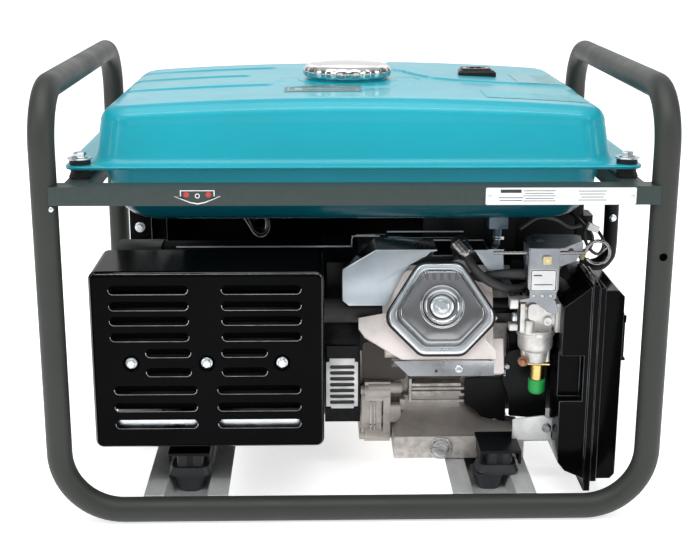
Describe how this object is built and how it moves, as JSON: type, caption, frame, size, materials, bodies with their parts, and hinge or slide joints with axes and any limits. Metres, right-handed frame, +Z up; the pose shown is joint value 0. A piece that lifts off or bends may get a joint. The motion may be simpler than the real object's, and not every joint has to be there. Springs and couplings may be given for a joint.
{
  "type": "portable generator",
  "caption": "Open-frame petrol generator: tube frame with lifting bars, pressed steel fuel tank, tilted single-cylinder engine, alternator, shielded silencer and control panel.",
  "frame": {"origin": "centre of the footprint at floor level", "axes": "+X along the crankshaft towards the starter and air cleaner, +Y from the cylinder-head side towards the control-panel side, +Z up"},
  "size_m": [0.683, 0.528, 0.496],
  "materials": {
    "frame_paint": "satin dark grey powder coat",
    "rail_paint": "satin black-grey powder coat",
    "galvanised": "galvanised sheet",
    "black_steel": "satin black",
    "black_gloss": "gloss black enamel",
    "tank_paint": "gloss teal enamel",
    "rubber": "matt black rubber",
    "chrome": "polished",
    "zinc": "bright zinc plate",
    "cast_alloy": "as-cast aluminium",
    "bright_alloy": "bright die-cast aluminium",
    "steel": "machined steel",
    "copper_rotor": "laminated core with windings",
    "black_plastic": "matt black moulding",
    "gloss_plastic": "gloss black moulding",
    "red_plastic": "red moulding",
    "brass": "plated brass",
    "ceramic": "glazed insulator",
    "foam": "oiled foam",
    "hot_steel": "heat-tinted steel"
  },
  "bodies": {
    "frame": {"near_hoop": "frame_paint", "far_hoop": "frame_paint", "left_handle": "frame_paint", "right_handle": "frame_paint", "near_rail": "rail_paint", "far_rail": "rail_paint", "side_rails": "rail_paint", "cross_members": "galvanised", "mount_feet": "black_steel", "mount_rubbers": "rubber", "mount_brackets": "black_steel", "tank_top": "tank_paint", "tank_bottom": "tank_paint", "filler_neck": "tank_paint", "fuel_gauge": "black_plastic", "tank_bolts": "zinc", "tank_grommets": "rubber", "fuel_valve": "brass", "crankcase": "cast_alloy", "crankcase_cover": "cast_alloy", "cylinder_head": "cast_alloy", "cover_gasket": "rubber", "valve_cover": "bright_alloy", "engine_bolts": "zinc", "head_shroud": "zinc", "lower_baffle": "zinc", "spark_plug": "ceramic", "plug_cap": "rubber", "intake_flange": "black_plastic", "carburettor": "bright_alloy", "fuel_bowl": "bright_alloy", "fuel_solenoid": "brass", "control_bracket": "zinc", "airbox_base": "gloss_plastic", "airbox_cover": "gloss_plastic", "filter_element": "foam", "fan_housing": "black_steel", "recoil_housing": "black_steel", "stator_housing": "black_steel", "vent_bell": "bright_alloy", "alternator_cover": "black_plastic", "muffler": "hot_steel", "heat_shield": "black_gloss", "panel_box": "black_gloss", "panel_fittings": "black_plastic"},
    "fuel_cap": {"fuel_cap": "chrome"},
    "valve_lever": {"fuel_valve_lever": "red_plastic"},
    "choke_rod": {"choke_rod": "zinc"},
    "choke_shaft": {"choke_shaft": "brass"},
    "throttle": {"throttle_arm": "black_steel"},
    "near_latch": {"near_latch": "zinc"},
    "far_latch": {"far_latch": "zinc"},
    "recoil_handle": {"recoil_handle": "black_plastic"},
    "crank_train": {"crankshaft": "steel", "flywheel": "steel", "rotor": "copper_rotor"},
    "left_lid": {"left_lid": "black_plastic"},
    "right_lid": {"right_lid": "black_plastic"},
    "engine_switch": {"engine_switch": "red_plastic"},
    "dipstick": {"dipstick": "black_plastic"}
  },
  "joints": [
    {"name": "cap_twist", "type": "hinge", "parent": "frame", "child": "fuel_cap", "pos_m": [-0.004, -0.015, 0.48], "axis": [0, 0, 1], "range_deg": [0, 90]},
    {"name": "fuel_valve_turn", "type": "hinge", "parent": "frame", "child": "valve_lever", "pos_m": [0.172, -0.105, 0.314], "axis": [0, 1, 0], "range_deg": [0, 90]},
    {"name": "choke_pull", "type": "slide", "parent": "frame", "child": "choke_rod", "axis": [1, 0, 0], "range_m": [0, 0.015]},
    {"name": "choke_turn", "type": "hinge", "parent": "frame", "child": "choke_shaft", "pos_m": [0.226, -0.159, 0.216], "axis": [0, 0, 1], "range_deg": [-75.6, 0]},
    {"name": "throttle_turn", "type": "hinge", "parent": "frame", "child": "throttle", "pos_m": [0.202, -0.159, 0.216], "axis": [0, 0, 1], "range_deg": [-60, 0]},
    {"name": "near_latch_swing", "type": "hinge", "parent": "frame", "child": "near_latch", "pos_m": [0.3078, -0.188, 0.218], "axis": [0, -1, 0], "range_deg": [0, 100]},
    {"name": "far_latch_swing", "type": "hinge", "parent": "frame", "child": "far_latch", "pos_m": [0.3078, -0.12, 0.218], "axis": [0, -1, 0], "range_deg": [0, 100]},
    {"name": "starter_pull", "type": "slide", "parent": "frame", "child": "recoil_handle", "axis": [0, 1, 0], "range_m": [0, 0.13], "stiffness_N_per_m": 80, "springref_m": -0.02},
    {"name": "crank_turn", "type": "hinge", "parent": "frame", "child": "crank_train", "pos_m": [0, 0, 0.15], "axis": [1, 0, 0], "continuous": true},
    {"name": "left_lid_swing", "type": "hinge", "parent": "frame", "child": "left_lid", "pos_m": [-0.15, 0.2535, 0.3035], "axis": [1, 0, 0], "range_deg": [0, 110], "stiffness_Nm_per_rad": 0.02, "springref_deg": -17.19},
    {"name": "right_lid_swing", "type": "hinge", "parent": "frame", "child": "right_lid", "pos_m": [-0.05, 0.2535, 0.3035], "axis": [1, 0, 0], "range_deg": [0, 110], "stiffness_Nm_per_rad": 0.02, "springref_deg": -17.19},
    {"name": "switch_rock", "type": "hinge", "parent": "frame", "child": "engine_switch", "pos_m": [0.04, 0.245, 0.3], "axis": [1, 0, 0], "range_deg": [-12, 12]},
    {"name": "dipstick_turn", "type": "hinge", "parent": "frame", "child": "dipstick", "pos_m": [0.07, 0.12, 0.046], "axis": [0, 1, 0], "range_deg": [0, 180]}
  ],
  "couplings": [
    {"joint": "choke_turn", "follows": "choke_pull", "rad_per_m": -87.27}
  ]
}
